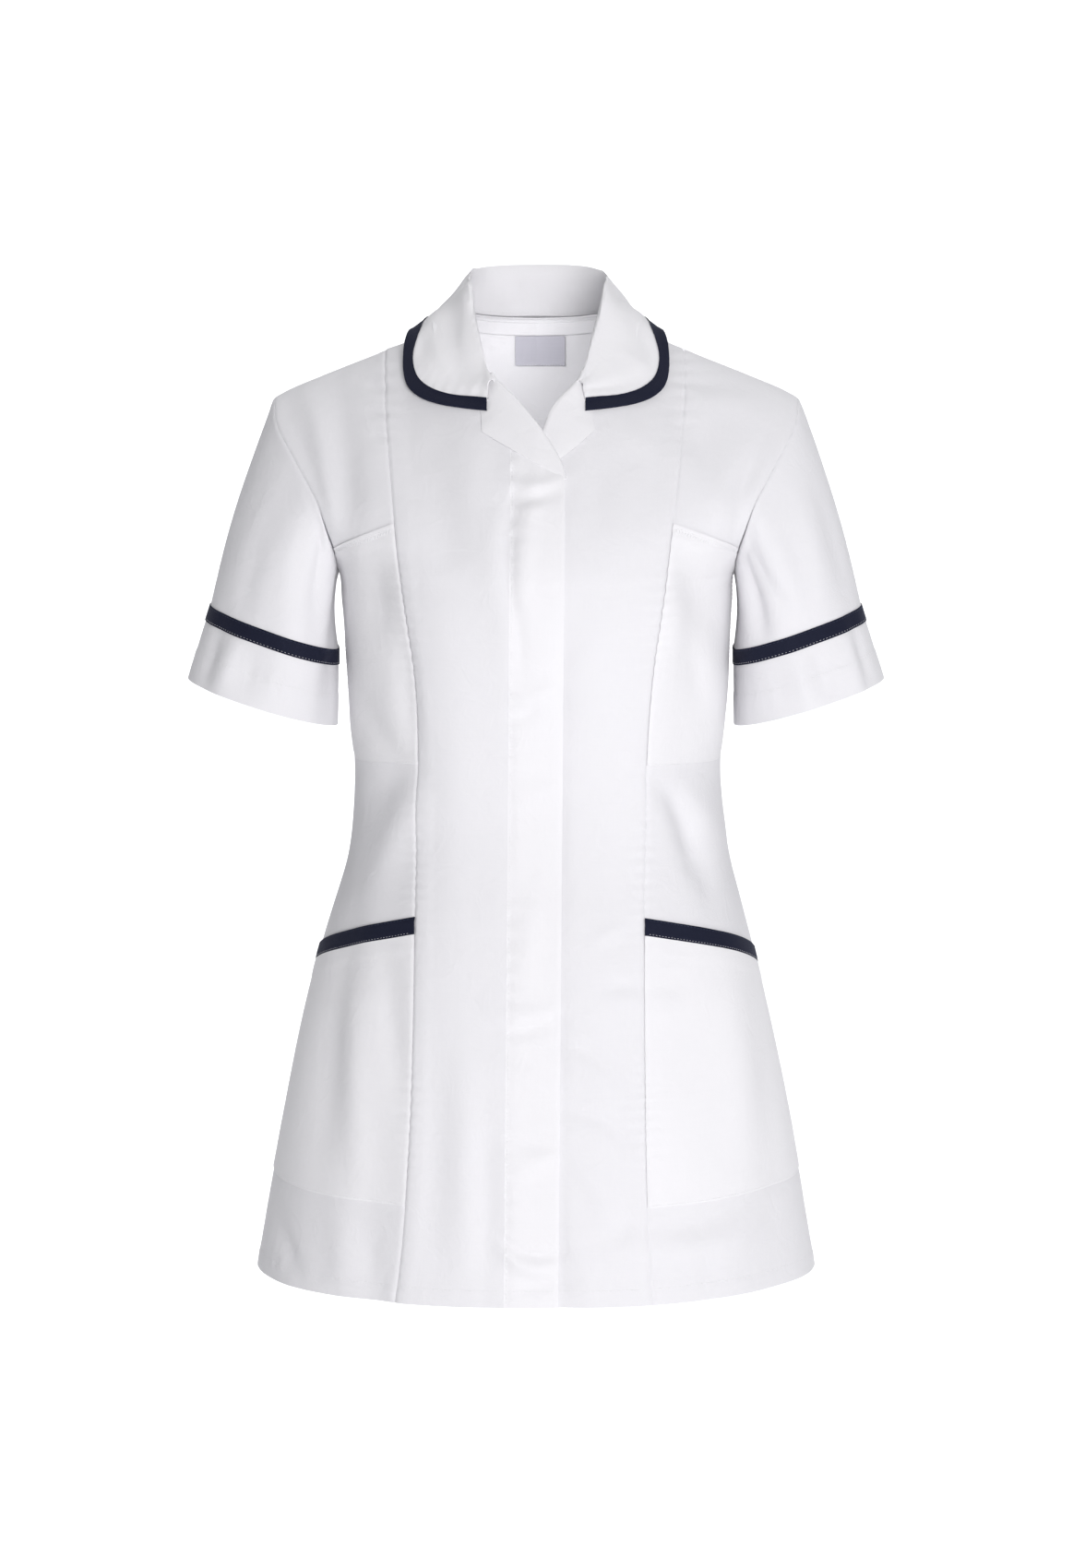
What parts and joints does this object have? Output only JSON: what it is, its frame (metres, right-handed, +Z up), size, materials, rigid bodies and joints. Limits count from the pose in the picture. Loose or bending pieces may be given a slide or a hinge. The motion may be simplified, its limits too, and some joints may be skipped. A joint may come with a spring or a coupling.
{
  "type": "work tunic",
  "caption": "Short-sleeved princess-line work tunic with a rounded bound collar, covered front closure, bust and hip patch pockets and contrast piping",
  "frame": {"origin": "midway between the two points where the shoulder seams meet the neckline, where the wearer's shoulders carry the tunic", "axes": "+Z up, -Y the front of the tunic, +X the wearer's left"},
  "size_m": [0.5024, 0.2693, 0.7286],
  "materials": {
    "white_cotton": "white polyester cotton poplin, matt, lightly pressed",
    "navy_binding": "navy twill binding and tape, matt",
    "woven_label": "pale lilac grey woven label, slight satin sheen"
  },
  "bodies": {
    "root": {"front_right": "white_cotton", "front_left": "white_cotton", "placket": "white_cotton", "side_front_right": "white_cotton", "side_front_left": "white_cotton", "back_yoke": "white_cotton", "back_panel": "white_cotton", "sleeve_right": "white_cotton", "sleeve_left": "white_cotton", "collar": "white_cotton", "lapel_right": "white_cotton", "lapel_left": "white_cotton", "bust_pocket_right": "white_cotton", "bust_pocket_left": "white_cotton", "hip_pocket_right": "white_cotton", "hip_pocket_left": "white_cotton", "neck_tape": "white_cotton", "sleeve_tape_right": "navy_binding", "sleeve_tape_left": "navy_binding", "collar_binding": "navy_binding", "hip_binding_right": "navy_binding", "hip_binding_left": "navy_binding", "label": "woven_label"}
  },
  "joints": []
}
